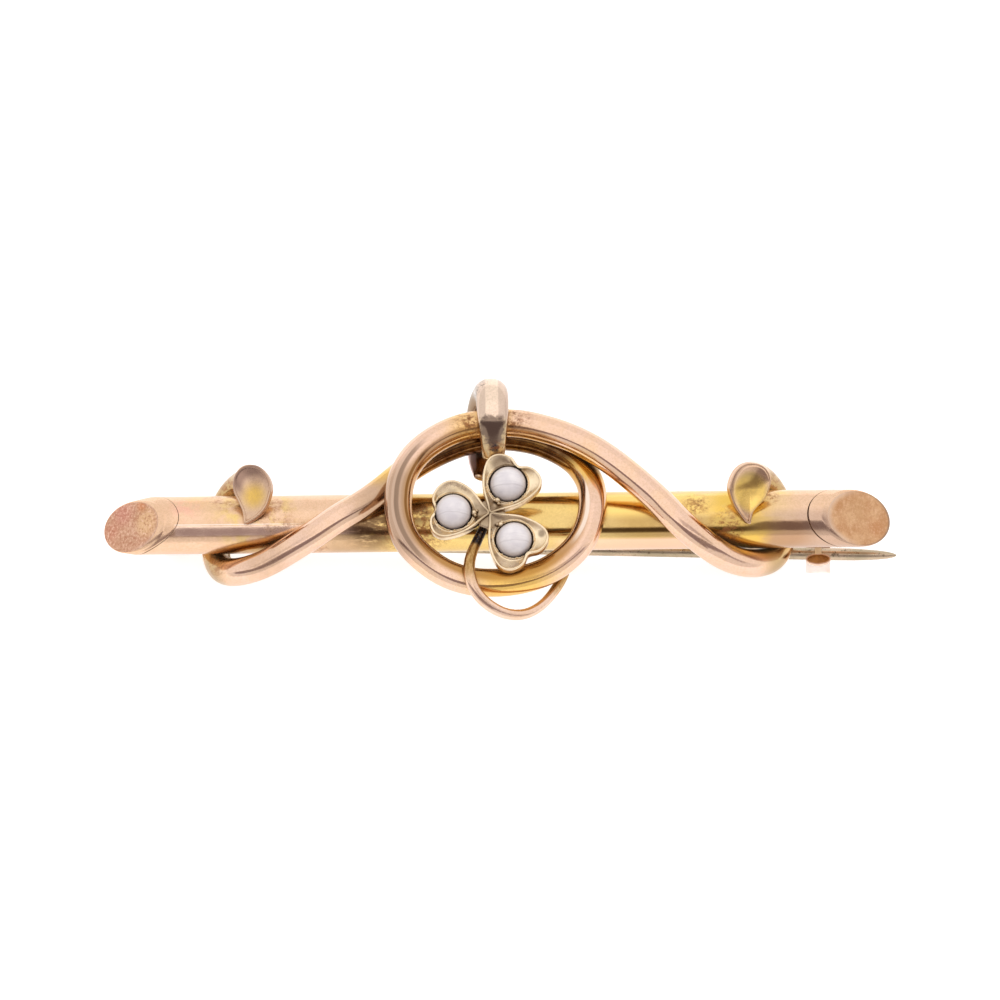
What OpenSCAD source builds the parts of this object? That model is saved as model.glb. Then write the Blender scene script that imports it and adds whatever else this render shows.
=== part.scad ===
// Bar brooch with a vine of round wire, a clover of three half pearls, and a hinged pin.
// X runs along the bar, Y up the face and Z out of the face. The brooch lies on its back on Z = 0.

/* [Bar] */
// Length of the bar, from cap tip to cap tip
bar_length = 48; // [47:0.5:49]
// Outside diameter of the bar
bar_d = 3.54; // [3.5:0.01:3.56]
// Wall of the hollow tube and of the caps
tube_wall = 0.35; // [0.25:0.05:0.5]
// Height of the bar's axis above the plane that the brooch lies on
bar_height = 4.9; // [4.85:0.01:5.1]
// Angle between the cut right end and the bar's axis
cut_right = 41.5; // [38:0.5:50]
// The same for the left end
cut_left = 45; // [38:0.5:50]
// How far the cut right end is turned downward about the bar's axis
roll_right = 13; // [0:1:15]
// The same for the left end
roll_left = 9; // [0:1:15]
// Length of an end cap along the bar, from its face to its seam
cap_length = 1.1; // [0.9:0.05:1.4]
// Thickness of a cap's closing plate, along the bar
cap_plate = 0.5; // [0.3:0.05:0.7]

/* [Vine] */
// Diameter of the vine's round wire
wire_d = 1.72; // [1.6:0.01:1.72]
// Sides of the wire's section
wire_sides = 14; // [10:2:16]
// Length of a leaf terminal, from its top to its tip
leaf_length = 3.6; // [3.4:0.05:3.65]
// Depth of a leaf terminal, from its rim to its back
leaf_depth = 0.7; // [0.5:0.05:0.9]
// Thickness of a leaf terminal's floor
leaf_floor = 0.3; // [0.2:0.05:0.4]
// Wall of a leaf terminal
leaf_wall = 0.18; // [0.14:0.01:0.3]

/* [Collar] */
// Width of the collar along the bar where it is widest
collar_width = 2; // [1.84:0.01:2.02]

/* [Clover] */
// Length of the largest clover leaf, from the centre to its lobes
clover_leaf = 3.9; // [3.7:0.05:3.95]
// Thickness of the clover's leaves under their rims
clover_plate = 0.4; // [0.3:0.05:0.45]
// Width of their raised rims
clover_rim = 0.28; // [0.2:0.01:0.34]
// Height of those rims above the leaf
clover_rim_height = 0.2; // [0.1:0.01:0.25]
// Diameter of a half pearl
pearl_d = 2.2; // [2:0.05:2.25]
// Distance of a pearl from the clover's centre
pearl_reach = 2.24; // [2.15:0.01:2.3]
// Diameter of the stem where it is thickest
stem_d = 0.72; // [0.6:0.01:0.74]

/* [Pin] */
// Diameter of the pin
pin_d = 0.75; // [0.7:0.01:0.76]
// Length of the pin, from the rivet to its point
pin_length = 44; // [43.5:0.1:44.2]
// Length of the tapered point
point_length = 3.4; // [2.5:0.1:5]
// Diameter of the hinge rivet
rivet_d = 0.46; // [0.4:0.01:0.48]
// How far along the bar the rivet and the catch lie from the middle
hinge_x = 19.6; // [19.4:0.1:19.8]
// Width of the catch along the bar
catch_width = 1.5; // [1.2:0.01:1.6]

/* [Hidden] */
$fn = 48;
eps = 0.01;
solder_gap = 0.03;
seam = 0.07;
bar_r = bar_d / 2;
wire_r = wire_d / 2;
pearl_r = pearl_d / 2;
pin_r = pin_d / 2;

rose = [0.86, 0.66, 0.53];
yellow = [0.84, 0.68, 0.36];
olive = [0.66, 0.58, 0.40];
pearl_white = [0.88, 0.85, 0.87];
steel_gold = [0.60, 0.56, 0.46];

// The vine's route in mm from the middle of the bar, in five stretches.
// Columns: x along the bar, y up the face, z out of it.
// from under the left leaf, over the bar's top, behind it and under it
vine_left_end = [
  [-14.86, 1.88, 2.05], [-14.98, 2.28, 1.4], [-15.2, 2.6, 0.6], [-15.65, 2.68, -0.35],
  [-16.35, 2.3, -1.4], [-16.95, 1.2, -2.45], [-17.2, 0, -2.72], [-17.15, -1.15, -2.5],
  [-16.8, -2.25, -1.65], [-16.2, -2.85, -0.7], [-15.3, -3.05, 0.1], [-14.1, -2.85, 0.7]
];
// across the front of the bar and up to the collar, behind the ring
vine_left_run = [
  [-12.65, -2.3, 1.5], [-11.3, -1.65, 2.15], [-9.6, -0.65, 2.65], [-8.3, 0.1, 2.7],
  [-6.9, 1.25, 2.42], [-5.6, 2.55, 2], [-4.05, 3.6, 1.92], [-2.15, 4.45, 1.92]
];
// the ring: top, right side, bottom, left side and back to the collar, in front
vine_ring = [
  [-0.25, 4.85, 1.9], [1.45, 4.75, 1.9], [3.05, 4.3, 1.9], [4.8, 3.2, 1.95], [5.7, 1.6, 2.3],
  [5.85, 0.05, 2.72], [5.65, -1.2, 2.8], [5.2, -2.4, 2.9], [4.3, -3.55, 3], [2.9, -4.55, 3.05],
  [1.35, -5.1, 3.15], [-0.15, -5.3, 3.25], [-1.8, -5.2, 3.35], [-3.5, -4.55, 3.5],
  [-5.1, -3.2, 3.7], [-5.8, -1.95, 3.82], [-6, -0.35, 3.88], [-5.85, 1.1, 3.88],
  [-5.3, 2.4, 3.84], [-4.4, 3.45, 3.78], [-3.15, 4.3, 3.72], [-1.85, 4.8, 3.7], [-0.35, 5, 3.7]
];
// from the collar down across the front of the bar
vine_right_run = [
  [1.45, 4.95, 3.7], [2.7, 4.65, 3.72], [3.9, 4.25, 3.74], [5.1, 3.7, 3.74], [6.3, 3, 3.66],
  [7.55, 2.1, 3.42], [8.8, 1.1, 3.1], [9.9, 0.15, 2.75], [11.1, -1.1, 2.5], [12.65, -2.2, 1.58]
];
// under the bar, behind it and over its top to the right leaf
vine_right_end = [
  [14, -2.68, 0.4], [15.4, -2.62, -0.75], [16.55, -1.95, -1.9], [17.15, -1, -2.55],
  [17.4, 0.1, -2.72], [17.35, 1.2, -2.45], [17, 2.1, -1.7], [16.45, 2.6, -0.7],
  [15.85, 2.66, 0.45], [15.5, 2.3, 1.6], [15.4, 1.75, 2.55]
];
vine_route = concat(vine_left_end, vine_left_run, vine_ring, vine_right_run, vine_right_end);
vine_steps = 3;

// The collar's middle line: x, y and z as above, then the half width along the bar and the half
// thickness as shares of the widest.
collar_route = [
  [-0.16, 2.8, 3.7, 0.66, 0.25], [-0.17, 3.5, 4.28, 0.8, 0.33], [-0.18, 4.66, 5.1, 0.93, 0.45],
  [-0.2, 5.95, 5.02, 0.99, 0.62], [-0.27, 6.85, 4.25, 1, 0.8], [-0.42, 7.16, 3.2, 1, 0.85],
  [-0.68, 6.95, 2.15, 0.99, 0.81], [-0.88, 6.35, 1.1, 0.96, 0.66], [-0.94, 5.4, 0.5, 0.93, 0.49],
  [-0.9, 4.5, 0.5, 0.9, 0.41], [-0.9, 3.4, 0.85, 0.8, 0.35], [-0.88, 2.4, 1.35, 0.54, 0.25]
];
collar_steps = 3;
collar_sides = 16;

// The clover stem's middle line: x, y and z as above, then its radius as a share of the thickest.
stem_route = [
  [-0.85, -1.95, 3.7, 0.8], [-1.25, -2.84, 3.82, 0.85], [-1.65, -4.1, 4.3, 0.95],
  [-1.7, -5.2, 4.62, 1], [-1.4, -6.2, 4.4, 1], [-0.6, -6.95, 3.85, 1], [0.5, -7.3, 3.2, 0.95],
  [1.65, -7.12, 2.65, 0.9], [2.68, -6.36, 2.2, 0.84], [3.47, -5.3, 1.92, 0.86],
  [3.93, -4.4, 1.75, 0.92], [4.2, -3.75, 1.7, 0.8]
];
stem_steps = 3;
stem_sides = 10;

// Half of a clover leaf's outline: share of the leaf's length, then share across it.
half_heart = [[0, 0], [0.12, 0.13], [0.34, 0.33], [0.58, 0.45], [0.78, 0.485], [0.92, 0.42],
  [0.99, 0.29], [0.995, 0.15], [0.93, 0]];
leaf_angles = [176, 60, -50];
leaf_shares = [0.93, 0.98, 1];
clover_x = -0.42;
clover_y = -1.25;
clover_z = 4.08;
pearl_sink = 0.24;
seat_gap = 0.03;
seat_wall = 0.16;
seat_lip = 0.1;
grain_r = 0.19;
grain_reach = 0.98;
boss_r = 0.42;

// The leaf terminals' outlines as shares of their length, x across them and y up them.
left_drop = [[-0.02, 0.51], [0.165, 0.45], [0.295, 0.28], [0.339, 0.09], [0.31, -0.04],
  [0.235, -0.22], [0.11, -0.36], [-0.05, -0.455], [-0.165, -0.487], [-0.178, -0.38],
  [-0.19, -0.27], [-0.25, -0.11], [-0.315, 0.05], [-0.322, 0.2], [-0.275, 0.365], [-0.17, 0.478]];
right_drop = [[-0.03, 0.493], [0.11, 0.495], [0.235, 0.42], [0.32, 0.28], [0.318, 0.13],
  [0.264, -0.059], [0.155, -0.2], [0.085, -0.3], [0.062, -0.41], [0.055, -0.53], [-0.04, -0.49],
  [-0.14, -0.384], [-0.25, -0.22], [-0.33, 0], [-0.33, 0.15], [-0.27, 0.33], [-0.16, 0.45]];
// where the middles of their backs lie, and how they are turned about x and y
drop_steps = 3;
left_at = [-14.75, 1, 2.26];
left_turn = [14, -12, 0];
right_at = [15.31, 0.79, 2.46];
right_turn = [26, 17, 0];

// The pin lies parallel to the face, and hangs a little at its free end.
pin_z = -4.1;
hinge_y = 0.59;
pin_droop = 1.85;
catch_y = hinge_y - 2 * hinge_x * tan(pin_droop);
eye_r = 0.62;
eye_thickness = 0.6;
neck_length = 1.35;
pin_tip_r = 0.1;
// How the point narrows: share of the point's length, then the radius there as a share of the pin's
point_taper = [[0, 1], [0.5, 0.85], [0.82, 0.62]];
rivet_run = 0.04;
rivet_press = 0.01;
eye_gap = 0.03;
lug_r = 0.52;
bracket_width = 1.5;
bracket_top = 1.1;
front_lug = 0.36;
rivet_length = bar_height + pin_z + eye_thickness / 2 + eye_gap + front_lug;
pin_play = 0.12;
hook_wall = bar_height + pin_z - pin_r - pin_play;
hook_leg = 1.06;
post_thick = 0.5;
neck_width = 0.4;
lip_half = 0.36;
lip_rim = 0.1;
lip_depth = 0.14;
lip_thick = 0.32;
lip_recess = 0.2;

// Vectors and curves
function unit(v) = v / norm(v);
function catmull(a, b, c, d, t) = 0.5 * (2 * b + (c - a) * t + (2 * a - 5 * b + 4 * c - d) * t * t
  + (3 * b - a - 3 * c + d) * t * t * t);
// a smooth open curve through the rows of p, with n steps from each row to the next
function open_curve(p, n) = let (last = len(p) - 1) [
  for (i = [0 : last - 1], k = [0 : n - 1]) catmull(i > 0 ? p[i - 1] : 2 * p[0] - p[1], p[i],
    p[i + 1], i < last - 1 ? p[i + 2] : 2 * p[last] - p[last - 1], k / n),
  p[last]
];
// the same through a closed outline
function closed_curve(p, n) = let (m = len(p)) [
  for (i = [0 : m - 1], k = [0 : n - 1])
    catmull(p[(i + m - 1) % m], p[i], p[(i + 1) % m], p[(i + 2) % m], k / n)
];
function xyz(row) = [row[0], row[1], row[2]];
function headings(p) = [for (i = [0 : len(p) - 1])
  unit(p[min(i + 1, len(p) - 1)] - p[max(i - 1, 0)])];
function flatten_to(v, t) = unit(v - (v * t) * t);
// side vectors that turn as little as they can along the curve
function side_vectors(t, first) = [
  for (i = 0, s = flatten_to(first, t[0]); i < len(t);
    i = i + 1, s = i < len(t) ? flatten_to(s, t[i]) : s) s
];

// A solid swept along p: across and thick are the half sizes at each point, side the first side vector
module sweep(p, across, thick, side, sides) {
  t = headings(p);
  s = side_vectors(t, side);
  last = len(p) - 1;
  points = [for (i = [0 : last], k = [0 : sides - 1]) p[i] + across[i] * cos(360 * k / sides) * s[i]
    + thick[i] * sin(360 * k / sides) * cross(t[i], s[i])];
  walls = [for (i = [0 : last - 1], k = [0 : sides - 1]) let (j = (k + 1) % sides)
    [i * sides + k, (i + 1) * sides + k, (i + 1) * sides + j, i * sides + j]];
  start = [for (k = [0 : sides - 1]) k];
  end = [for (k = [sides - 1 : -1 : 0]) last * sides + k];
  polyhedron(points, concat([start], walls, [end]), convexity = 10);
}

// Everything is placed from the middle of the bar's axis
module on_bar() {
  translate([0, 0, bar_height]) children();
}

module bar_rod(r) {
  rotate([0, 90, 0]) cylinder(r = r, h = bar_length + 2, center = true);
}

// The space outside a right end's cut plane, which is moved inward by back along the bar
module beyond_cut(angle, roll, back) {
  size = 4 * bar_d;
  translate([bar_length / 2 - bar_r / tan(angle) - back, 0, 0]) rotate([roll, 0, 0])
    rotate([0, angle - 90, 0]) translate([0, -size / 2, -size / 2]) cube(size);
}

module bar_tube() {
  color(rose) on_bar() difference() {
    bar_rod(bar_r);
    bar_rod(bar_r - tube_wall);
    beyond_cut(cut_right, roll_right, cap_length);
    mirror([1, 0, 0]) beyond_cut(cut_left, roll_left, cap_length);
  }
}

module end_cap(angle, roll) {
  color(rose) on_bar() difference() {
    intersection() {
      bar_rod(bar_r);
      beyond_cut(angle, roll, cap_length - seam);
    }
    beyond_cut(angle, roll, 0);
    difference() {
      bar_rod(bar_r - tube_wall);
      beyond_cut(angle, roll, cap_plate);
    }
  }
}

module end_cap_right() { end_cap(cut_right, roll_right); }
module end_cap_left() { mirror([1, 0, 0]) end_cap(cut_left, roll_left); }

module vine() {
  p = open_curve(vine_route, vine_steps);
  r = [for (i = [0 : len(p) - 1]) wire_r * (i == 0 || i == len(p) - 1 ? 0.8 : 1)];
  color(rose) on_bar() sweep(p, r, r, [1, 0, 0], wire_sides);
}

// A cupped drop-shaped leaf, lying on its back at z = 0 with its tip towards -y
module leaf_terminal(drop) {
  outline = closed_curve(leaf_length * drop, drop_steps);
  difference() {
    linear_extrude(leaf_depth) polygon(outline);
    translate([0, 0, leaf_floor]) linear_extrude(leaf_depth) offset(delta = -leaf_wall)
      polygon(outline);
  }
}

module leaf_left() {
  color(yellow) on_bar() translate(left_at) rotate(left_turn) leaf_terminal(left_drop);
}

module leaf_right() {
  color(yellow) on_bar() translate(right_at) rotate(right_turn) leaf_terminal(right_drop);
}

module collar() {
  rows = open_curve(collar_route, collar_steps);
  half = collar_width / 2;
  color(rose) on_bar() sweep([for (row = rows) xyz(row)], [for (row = rows) half * row[3]],
    [for (row = rows) half * row[4]], [1, 0, 0], collar_sides);
}

// One heart-shaped leaf, which points along +x from the clover's centre
function heart_outline(length) = let (
    lower = [for (i = [len(half_heart) - 2 : -1 : 1]) [half_heart[i][0], -half_heart[i][1]]]
  ) closed_curve(length * concat(half_heart, lower), 3);

module clover_setting() {
  color(olive) on_bar() translate([clover_x, clover_y, clover_z]) difference() {
    union() {
      for (i = [0 : len(leaf_angles) - 1]) rotate(leaf_angles[i]) {
        outline = heart_outline(clover_leaf * leaf_shares[i]);
        linear_extrude(clover_plate) polygon(outline);
        linear_extrude(clover_plate + clover_rim_height) difference() {
          polygon(outline);
          offset(delta = -clover_rim) polygon(outline);
        }
        translate([pearl_reach, 0, 0])
          cylinder(r = pearl_r + seat_gap + seat_wall, h = clover_plate + seat_lip);
        translate([grain_reach, 0, clover_plate]) sphere(r = grain_r);
      }
      cylinder(r = boss_r, h = clover_plate + clover_rim_height);
    }
    for (a = leaf_angles) rotate(a) translate([pearl_reach, 0, pearl_sink - seat_gap])
      cylinder(r = pearl_r + seat_gap, h = clover_plate + 1);
  }
}

module half_pearl(a) {
  color(pearl_white) on_bar() translate([clover_x, clover_y, clover_z]) rotate(a)
    translate([pearl_reach, 0, pearl_sink]) difference() {
      sphere(r = pearl_r);
      translate([0, 0, -pearl_d / 2]) cube(pearl_d + 2 * eps, center = true);
    }
}

module pearl_left() { half_pearl(leaf_angles[0]); }
module pearl_top() { half_pearl(leaf_angles[1]); }
module pearl_right() { half_pearl(leaf_angles[2]); }

module clover_stem() {
  rows = open_curve(stem_route, stem_steps);
  r = [for (row = rows) stem_d / 2 * row[3]];
  color(rose) on_bar() sweep([for (row = rows) xyz(row)], r, r, [1, 0, 0], stem_sides);
}

// A post on the bar's back with two lugs, which hold the pin's eye between them
module hinge_bracket() {
  eye_room = eye_thickness + 2 * eye_gap;
  color(yellow) on_bar() difference() {
    translate([-hinge_x - bracket_width / 2, hinge_y - lug_r, -bar_height])
      cube([bracket_width, lug_r + bracket_top, bar_height - bar_r / 2]);
    bar_rod(bar_r + solder_gap);
    translate([-hinge_x - bracket_width, hinge_y - bracket_width, pin_z - eye_room / 2])
      cube([2 * bracket_width, bracket_width + eye_r + eye_gap, eye_room]);
    translate([-hinge_x, hinge_y, -bar_height - eps])
      cylinder(r = rivet_d / 2 + rivet_press, h = rivet_length + 2 * eps);
  }
}

module hinge_rivet() {
  color(yellow) on_bar() translate([-hinge_x, hinge_y, -bar_height + eps])
    cylinder(r = rivet_d / 2, h = rivet_length - 2 * eps);
}

// A hook that is open at the bottom, on a post on the bar's back, with a small dished lip in front
module hook_slice(width) {
  inner = pin_r + pin_play;
  rotate([90, 0, 90]) linear_extrude(width, center = true) difference() {
    union() children();
    circle(r = inner);
    translate([-hook_leg - 1, -inner]) square([hook_leg + 1, 2 * inner]);
  }
}

module catch() {
  outer = pin_r + pin_play + hook_wall;
  lip = [for (i = [0 : 23]) [catch_width / 2 * cos(15 * i), lip_half * sin(15 * i)]];
  color(yellow) on_bar() translate([hinge_x, catch_y, pin_z]) difference() {
    union() {
      hook_slice(catch_width) {
        translate([-hook_leg, -outer]) square([hook_leg, hook_wall]);
        translate([0, -outer]) square([outer, outer]);
      }
      hook_slice(neck_width) {
        translate([-hook_leg + lip_half, 0]) square([hook_leg - lip_half + outer, outer]);
        translate([outer - post_thick, 0]) square([post_thick, -pin_z]);
      }
      translate([0, lip_half - hook_leg, outer + lip_depth - lip_thick])
        linear_extrude(lip_thick) polygon(lip);
    }
    translate([0, lip_half - hook_leg, outer + lip_depth - lip_recess])
      linear_extrude(1) offset(delta = -lip_rim) polygon(lip);
    translate([-hinge_x, -catch_y, -pin_z]) bar_rod(bar_r + solder_gap);
  }
}

// The pin, made along +x from the rivet's axis
module pin() {
  shank = pin_length - point_length - neck_length;
  color(steel_gold) on_bar() translate([-hinge_x, hinge_y, pin_z]) rotate(-pin_droop) difference() {
    union() {
      cylinder(r = eye_r, h = eye_thickness, center = true);
      translate([0, -pin_r, -eye_thickness / 2]) cube([neck_length + eps, pin_d, eye_thickness]);
      translate([neck_length, 0, 0]) rotate([0, 90, 0]) rotate_extrude() polygon(concat(
        [[0, 0], [pin_r, 0]],
        [for (row = point_taper) [row[1] * pin_r, shank + row[0] * point_length]],
        [[pin_tip_r, pin_length - neck_length], [0, pin_length - neck_length]]
      ));
    }
    cylinder(r = rivet_d / 2 + rivet_run, h = 2, center = true);
  }
}

bar_tube();
end_cap_left();
end_cap_right();
vine();
leaf_left();
leaf_right();
collar();
clover_setting();
clover_stem();
pearl_left();
pearl_top();
pearl_right();
hinge_bracket();
hinge_rivet();
catch();
pin();
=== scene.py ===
import math

import bpy
import numpy as np
from mathutils import Matrix, Vector


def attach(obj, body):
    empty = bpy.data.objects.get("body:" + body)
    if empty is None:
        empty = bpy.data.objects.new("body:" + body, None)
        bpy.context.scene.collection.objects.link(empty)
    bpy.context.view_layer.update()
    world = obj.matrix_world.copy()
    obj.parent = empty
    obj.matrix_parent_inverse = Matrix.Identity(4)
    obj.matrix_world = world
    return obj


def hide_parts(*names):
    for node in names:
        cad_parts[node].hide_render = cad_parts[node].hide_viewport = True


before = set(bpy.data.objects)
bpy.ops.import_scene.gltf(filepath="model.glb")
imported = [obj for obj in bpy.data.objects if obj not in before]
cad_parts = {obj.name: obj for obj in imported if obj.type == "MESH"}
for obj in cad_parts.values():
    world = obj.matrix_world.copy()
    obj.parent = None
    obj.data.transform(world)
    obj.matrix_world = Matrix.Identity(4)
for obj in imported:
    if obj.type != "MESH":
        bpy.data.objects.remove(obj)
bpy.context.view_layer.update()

# Sizes in mm, the same as the part's. Shapes are made in mm from the middle of the bar's axis.
MM = 0.001
BAR_HEIGHT = 4.9
BAR_R = 1.77
BAR_LENGTH = 48.0
# The end cuts: how steep each is, and how far it is turned round the bar
RIGHT_CUT = (math.radians(41.5), math.radians(13))
LEFT_CUT = (math.radians(45), math.radians(9))
CAP_LENGTH = 1.1
SEAM = 0.07
SEAM_DROP = 0.6
# How edges at a seam are rounded: how far along the bar and how far in
SEAM_EDGE = ((0, 0.012), (0.004, 0.003), (0.012, 0), (0.04, 0))
# For each cap its cut and cap_shape's rim, dent, mirror, slim, drop and gapes
CAPS = (
    ("right", (RIGHT_CUT, 0.25, 0.012, False, (0.01, 0.01), 0, ((-1.3, 0.5, 0.055), (-0.35, 0.6, 0.06)))),
    ("left", (LEFT_CUT, 0.3, 0.035, True, (0.115, 0.05), SEAM_DROP, ((-1.5, 0.45, 0.055),))),
)
WIRE_R = 0.86

# A faint ridge along the wire, on the side that faces this way: its share and half angle
CREASE = 0.024
CREASE_WAY = np.array([0.0, -0.59, 0.81])
CREASE_ANGLE = 0.2

VINE = [
    # left end, over the bar's top, behind it and under it
    (-14.86, 1.88, 2.05), (-14.98, 2.28, 1.4), (-15.2, 2.6, 0.6), (-15.65, 2.68, -0.35),
    (-16.35, 2.3, -1.4), (-16.95, 1.2, -2.45), (-17.2, 0, -2.72), (-17.15, -1.15, -2.5),
    (-16.8, -2.25, -1.65), (-16.2, -2.85, -0.7), (-15.3, -3.05, 0.1), (-14.1, -2.85, 0.7),
    # across the front of the bar and up to the collar, behind the ring
    (-12.65, -2.3, 1.5), (-11.3, -1.65, 2.15), (-9.6, -0.65, 2.65), (-8.3, 0.1, 2.7),
    (-6.9, 1.25, 2.42), (-5.6, 2.55, 2), (-4.05, 3.6, 1.92), (-2.15, 4.45, 1.92),
    # the ring
    (-0.25, 4.85, 1.9), (1.45, 4.75, 1.9), (3.05, 4.3, 1.9), (4.8, 3.2, 1.95), (5.7, 1.6, 2.3),
    (5.85, 0.05, 2.72), (5.65, -1.2, 2.8), (5.2, -2.4, 2.9), (4.3, -3.55, 3), (2.9, -4.55, 3.05),
    (1.35, -5.1, 3.15), (-0.15, -5.3, 3.25), (-1.8, -5.2, 3.35), (-3.5, -4.55, 3.5),
    (-5.1, -3.2, 3.7), (-5.8, -1.95, 3.82), (-6, -0.35, 3.88), (-5.85, 1.1, 3.88),
    (-5.3, 2.4, 3.84), (-4.4, 3.45, 3.78), (-3.15, 4.3, 3.72), (-1.85, 4.8, 3.7), (-0.35, 5, 3.7),
    # down across the front of the bar
    (1.45, 4.95, 3.7), (2.7, 4.65, 3.72), (3.9, 4.25, 3.74), (5.1, 3.7, 3.74), (6.3, 3, 3.66),
    (7.55, 2.1, 3.42), (8.8, 1.1, 3.1), (9.9, 0.15, 2.75), (11.1, -1.1, 2.5), (12.65, -2.2, 1.58),
    # under the bar, behind it and over its top, right end
    (14, -2.68, 0.4), (15.4, -2.62, -0.75), (16.55, -1.95, -1.9), (17.15, -1, -2.55),
    (17.4, 0.1, -2.72), (17.35, 1.2, -2.45), (17, 2.1, -1.7), (16.45, 2.6, -0.7),
    (15.85, 2.66, 0.45), (15.5, 2.3, 1.6), (15.4, 1.75, 2.55),
]
# x, y, z, half width along the bar and half thickness
COLLAR = [
    (-0.16, 2.8, 3.7, 0.66, 0.25), (-0.17, 3.5, 4.28, 0.8, 0.33), (-0.18, 4.66, 5.1, 0.93, 0.45),
    (-0.2, 5.95, 5.02, 0.99, 0.62), (-0.27, 6.85, 4.25, 1.0, 0.8), (-0.42, 7.16, 3.2, 1.0, 0.85),
    (-0.68, 6.95, 2.15, 0.99, 0.81), (-0.88, 6.35, 1.1, 0.96, 0.66), (-0.94, 5.4, 0.5, 0.93, 0.49),
    (-0.9, 4.5, 0.5, 0.9, 0.41), (-0.9, 3.4, 0.85, 0.8, 0.35), (-0.88, 2.4, 1.35, 0.54, 0.25),
]
# x, y, z and radius
STEM = [
    (-0.85, -1.95, 3.7, 0.288), (-1.25, -2.84, 3.82, 0.306), (-1.65, -4.1, 4.3, 0.342),
    (-1.7, -5.2, 4.62, 0.36), (-1.4, -6.2, 4.4, 0.36), (-0.6, -6.95, 3.85, 0.36),
    (0.5, -7.3, 3.2, 0.342), (1.65, -7.12, 2.65, 0.324), (2.68, -6.36, 2.2, 0.302),
    (3.47, -5.3, 1.92, 0.31), (3.93, -4.4, 1.75, 0.331), (4.2, -3.75, 1.7, 0.288),
]
LEAF_LENGTH = 3.6
LEAF_DEPTH = 0.7
LEAF_RIM = 0.155
# The leaf's side and rim: how far in and how high
LEAF_SIDE = (
    (0.05, 0.01), (0.015, 0.04), (0, 0.09), (0, 0.2), (0.012, 0.26), (0.03, 0.31), (0.03, 0.37),
    (0.01, 0.43), (0, 0.5), (0, LEAF_DEPTH - 0.06), (0.015, LEAF_DEPTH - 0.02), (0.05, LEAF_DEPTH),
    (0.1, LEAF_DEPTH), (0.135, LEAF_DEPTH - 0.02), (LEAF_RIM, LEAF_DEPTH - 0.07),
)
LEFT_DROP = [
    (-0.02, 0.51), (0.165, 0.45), (0.295, 0.28), (0.339, 0.09), (0.31, -0.04), (0.235, -0.22),
    (0.11, -0.36), (-0.05, -0.455), (-0.165, -0.487), (-0.178, -0.38), (-0.19, -0.27),
    (-0.25, -0.11), (-0.315, 0.05), (-0.322, 0.2), (-0.275, 0.365), (-0.17, 0.478),
]
RIGHT_DROP = [
    (-0.03, 0.493), (0.11, 0.495), (0.235, 0.42), (0.32, 0.28), (0.318, 0.13), (0.264, -0.059),
    (0.155, -0.2), (0.085, -0.3), (0.062, -0.41), (0.055, -0.53), (-0.04, -0.49), (-0.14, -0.384),
    (-0.25, -0.22), (-0.33, 0), (-0.33, 0.15), (-0.27, 0.33), (-0.16, 0.45),
]
# The right leaf's rim is broader on this side
RIM_WAY = np.array([-0.97, 0.24])
CLOVER_AT = np.array([-0.42, -1.25, 4.08])
CLOVER_LEAF = 3.9
# The three leaves: how each is turned, its size, and its lobe as for clover_leaf
LEAF_ANGLES = (176, 60, -50)
LEAF_SHARES = (0.93, 0.98, 1.0)
LEAF_LOBES = ((0.14, 0.35), (0, 0), (0, 0))
# The leaves' shaded slopes: place, where it is full, where it ends, how strong
CLOVER_SHADES = (
    ((0.25, 1.95, 4.5), 0.3, 0.75, 0.85), ((0.95, 1.75, 4.5), 0.1, 0.5, 0.6),
    ((0.62, 1.72, 4.5), 0.2, 0.55, 0.7), ((-2.75, 0.1, 4.45), 0.15, 0.55, 0.6),
    ((2.72, -2.6, 4.5), 0.12, 0.34, 0.8), ((-1.45, -0.85, 4.4), 0.1, 0.5, 0.6),
    ((-0.1, -2.1, 4.4), 0.1, 0.5, 0.5),
)
HALF_HEART = [
    (0, 0), (0.12, 0.13), (0.34, 0.33), (0.58, 0.45), (0.78, 0.485), (0.92, 0.42), (0.99, 0.29),
    (0.995, 0.15), (0.93, 0),
]
# A leaf's side and rim, as LEAF_SIDE
CLOVER_SIDE = ((0.3, 0.0), (0.04, 0.0), (0, 0.05), (0, 0.2), (0, 0.35), (0, 0.5), (0.012, 0.56),
               (0.045, 0.6), (0.1, 0.605), (0.145, 0.575))
PEARL_R = 1.1
PEARL_REACH = 2.24
PEARL_SINK = 0.24
PIN_Z = -4.1
HINGE_X = 19.6
HINGE_Y = 0.59
PIN_DROOP = math.radians(1.85)
PIN_R = 0.375
PIN_LENGTH = 44.0
POINT_LENGTH = 3.4
# How far from the tip, as a share of the point's length, and the radius as a share of PIN_R
PIN_POINT = ((1, 1.0), (0.75, 0.97), (0.5, 0.86), (0.34, 0.76), (0.18, 0.6), (0.08, 0.42))
NECK_LENGTH = 1.35
CATCH_LIP = (-1.376, -3.16)  # y and z of the middle of the catch's lip
EYE_R = 0.62
EYE_THICKNESS = 0.6

CAMERA_TILT = math.radians(22)
CAMERA_ROLL = math.radians(0.62)
CAMERA_FAR = 1500.0
PIXELS_PER_MM = 16.4


# ---- shapes ----

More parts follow.
